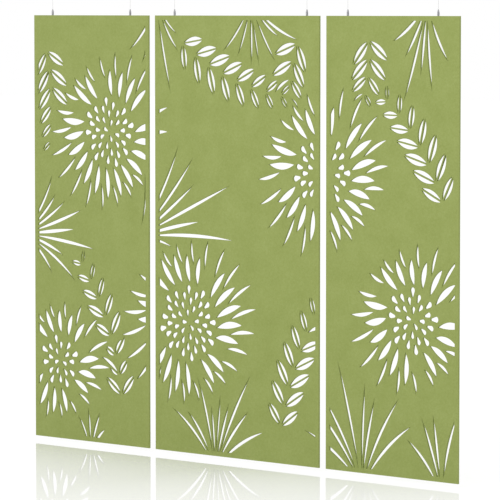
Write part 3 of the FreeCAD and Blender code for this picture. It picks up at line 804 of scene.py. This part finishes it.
clouds = add_node(
    felt_fibres,
    "TexNoise",
    {
        "Vector": felt_place,
        "Scale": cloud_scale,
        "Detail": cloud_detail,
        "Roughness": cloud_roughness,
    },
).outputs["Fac"]
needles = add_node(felt_fibres, "TexVoronoi", {"Vector": felt_place, "Scale": needle_scale})
dimples = add_node(
    felt_fibres,
    "MapRange",
    {
        "Value": needles.outputs["Distance"],
        "From Min": dimple_centre,
        "From Max": dimple_rim,
    },
).outputs[0]
shade = 0
for output, weight in ((fibres, fibre_weight), (grain, grain_weight), (clouds, cloud_weight)):
    shade = add_node(
        felt_fibres, "Math", {0: output, 1: weight, 2: shade}, operation="MULTIPLY_ADD"
    ).outputs[0]
relief = add_node(
    felt_fibres, "Math", {0: dimples, 1: dimple_weight, 2: fibres}, operation="MULTIPLY_ADD"
)
felt_fibres.links.new(shade, fibres_out.inputs["Shade"])
felt_fibres.links.new(relief.outputs[0], fibres_out.inputs["Height"])

# Green felt on the boards' faces, and on the cut walls, where the layers run along the board. The
# walls' colours are a little darker than the faces', which is painted shade.
felt_roughness = 0.95
dark_stop = 0.34
plain_stop = 0.52
pale_stop = 0.70
relief_strength = 0.5
felt_sheen = 0.08
felt_sheen_roughness = 0.6
felt_specular = 0.15
face_scale = (1, 1, 1)
face_relief = 0.0006
wall_scale = (0.5, 3.5, 0.5)
wall_relief = 0.0004


def felt_material(name, dark, plain, pale, scale, relief_depth):
    """Green felt, whose fibres and dye vary a little about the plain colour."""
    material, tree, shader, place = new_material(name, plain, felt_roughness)
    mapping = add_node(tree, "Mapping", {"Vector": place, "Scale": scale})
    group = add_node(tree, "Group", {"Vector": mapping.outputs[0]}, node_tree=felt_fibres)
    ramp = add_node(tree, "ValToRGB", {"Fac": group.outputs["Shade"]})
    ramp.color_ramp.elements[0].position = dark_stop
    ramp.color_ramp.elements[0].color = (*dark, 1)
    ramp.color_ramp.elements[1].position = pale_stop
    ramp.color_ramp.elements[1].color = (*pale, 1)
    ramp.color_ramp.elements.new(plain_stop).color = (*plain, 1)
    tree.links.new(ramp.outputs["Color"], shader.inputs["Base Color"])
    bump = add_node(
        tree,
        "Bump",
        {
            "Strength": relief_strength,
            "Distance": relief_depth,
            "Height": group.outputs["Height"],
        },
    )
    tree.links.new(bump.outputs["Normal"], shader.inputs["Normal"])
    shader.inputs["Sheen Weight"].default_value = felt_sheen
    shader.inputs["Sheen Roughness"].default_value = felt_sheen_roughness
    shader.inputs["Specular IOR Level"].default_value = felt_specular
    return material


felt_face = felt_material(
    "felt face", felt_dark, felt_green, felt_pale, face_scale, face_relief
)
felt_wall_with_painted_shade = felt_material(
    "felt cut wall with painted shade", shaded_wall_dark, shaded_wall_green, shaded_wall_pale, wall_scale, wall_relief
)
for side in sides:
    shape = bmesh.new()
    shape.from_mesh(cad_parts[side + "_felt"].data)
    bmesh.ops.remove_doubles(shape, verts=shape.verts, dist=felt_weld_distance)
    rims = []
    for edge in shape.edges:
        if len(edge.link_faces) == 2 and edge.calc_face_angle() > felt_rim_angle:
            flat = [abs(face.normal.y) > flat_from for face in edge.link_faces]
            if any(flat) and not all(flat):
                rims.append(edge)
    bmesh.ops.bevel(
        shape,
        geom=rims,
        offset=felt_rim,
        segments=felt_rim_steps,
        profile=0.5,
        affect="EDGES",
        material=-1,
        miter_outer="ARC",
        clamp_overlap=False,
    )
    bmesh.ops.remove_doubles(shape, verts=shape.verts, dist=weld_distance)
    # Faces that look sideways, the cut walls, take the felt with the painted shade.
    for face in shape.faces:
        face.material_index = 0 if abs(face.normal.y) > face_from else 1
    mesh = bpy.data.meshes.new(side + "_felt_panel")
    shape.to_mesh(mesh)
    shape.free()
    mesh.materials.append(felt_face)
    mesh.materials.append(felt_wall_with_painted_shade)
    new_piece(side + "_felt_panel", mesh, side + "_panel", side + "_felt")

# Camera. It stands 19 m away, to the right of the row and at about the height of the panels' top
# edges, and looks slightly down through a long lens.
camera_place = (13.0229, -14.2392, -0.0871)
camera_down = math.radians(3.936)
camera_turn = math.radians(42.278)
camera_lens = 253.52
camera_sensor = 36
camera_reach = 100
camera = bpy.data.objects.new("camera", bpy.data.cameras.new("camera"))
camera.data.lens = camera_lens
camera.data.sensor_width = camera_sensor
camera.data.clip_end = camera_reach
camera.location = camera_place
camera.rotation_euler = (math.radians(90) - camera_down, 0, camera_turn)
bpy.context.collection.objects.link(camera)
bpy.context.scene.camera = camera

# Floor. A white floor 25 mm below the panels, which mirrors them faintly, less farther out and
# less towards the row's right end, and which keeps their soft shadow.
floor_gap = 0.025
floor_reach = 60
floor_grey = (0.9, 0.9, 0.9)
floor_roughness = 0.5
mirror_near = 0.62
mirror_roughness = 0.03
fade_outward = 0.91
fade_rightward = 0.75
glow_colour = (0.8, 0.8, 0.8, 1)
matt_colour = (0.3, 0.3, 0.3, 1)
white = (1, 1, 1, 1)
floor_shape = bmesh.new()
bmesh.ops.create_grid(floor_shape, x_segments=1, y_segments=1, size=floor_reach)
floor_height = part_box("centre_felt")[0].z - floor_gap
bmesh.ops.translate(floor_shape, verts=floor_shape.verts, vec=(0, 0, floor_height))
floor_mesh = bpy.data.meshes.new("floor")
floor_shape.to_mesh(floor_mesh)
floor_shape.free()
floor = bpy.data.objects.new("floor", floor_mesh)
bpy.context.collection.objects.link(floor)
floor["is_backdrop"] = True
floor_material, tree, shader, place = new_material("floor", floor_grey, floor_roughness)


def background_rays(tree):
    """1 for the rays that show the background: camera, glossy and transmission ones."""
    rays = add_node(tree, "LightPath", {})
    seen = rays.outputs["Is Camera Ray"]
    for name in ("Is Glossy Ray", "Is Transmission Ray"):
        seen = add_node(
            tree, "Math", {0: seen, 1: rays.outputs[name]}, operation="MAXIMUM"
        ).outputs[0]
    return seen


spot = add_node(tree, "SeparateXYZ", {0: place})
outward = add_node(tree, "Math", {0: spot.outputs["Y"]}, operation="ABSOLUTE").outputs[0]
rightward = add_node(tree, "Math", {0: spot.outputs["X"], 1: 0.0}, operation="MAXIMUM").outputs[0]
fade = 1.0
for reach, steepness in ((outward, fade_outward), (rightward, fade_rightward)):
    fade = add_node(
        tree, "Math", {0: reach, 1: steepness, 2: fade}, operation="MULTIPLY_ADD"
    ).outputs[0]
mirror_share = add_node(tree, "Math", {0: mirror_near, 1: fade}, operation="DIVIDE").outputs[0]
mirror = add_node(
    tree, "BsdfGlossy", {"Color": white, "Roughness": mirror_roughness}
).outputs[0]
glow = add_node(tree, "Emission", {"Color": glow_colour, "Strength": 1.0}).outputs[0]
matt = add_node(tree, "BsdfDiffuse", {"Color": matt_colour}).outputs[0]
bare = add_node(tree, "AddShader", {0: glow, 1: matt}).outputs[0]
shown = add_node(tree, "MixShader", {0: mirror_share, 1: bare, 2: mirror}).outputs[0]
surface = add_node(
    tree, "MixShader", {0: background_rays(tree), 1: shader.outputs[0], 2: shown}
).outputs[0]
tree.links.new(surface, tree.nodes["Material Output"].inputs["Surface"])
floor_mesh.materials.append(floor_material)

# Light. A white surround on all sides, and one large soft lamp in front of the row, higher than
# the ceiling fittings. The view transform shows the colours as they are.
surround_strength = 0.82
lamp_power = 118
lamp_size = 4
lamp_place = (1.0, -6.0, 3.0)
lamp_aim = (0, 0, -1.3)
world = bpy.data.worlds.new("surround")
bpy.context.scene.world = world
world.use_nodes = True
sky = world.node_tree
lighting = add_node(sky, "Background", {"Color": white, "Strength": surround_strength})
backdrop = add_node(sky, "Background", {"Color": white, "Strength": 1.0})
surround = add_node(
    sky,
    "MixShader",
    {0: background_rays(sky), 1: lighting.outputs[0], 2: backdrop.outputs[0]},
)
sky.links.new(surround.outputs[0], sky.nodes["World Output"].inputs["Surface"])
lamp = bpy.data.objects.new("soft lamp", bpy.data.lights.new("soft lamp", "AREA"))
lamp.data.energy = lamp_power
lamp.data.size = lamp_size
lamp.location = lamp_place
lamp.rotation_euler = (Vector(lamp_aim) - lamp.location).to_track_quat("-Z", "Y").to_euler()
bpy.context.collection.objects.link(lamp)
bpy.context.scene.view_settings.view_transform = "Standard"

low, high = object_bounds()
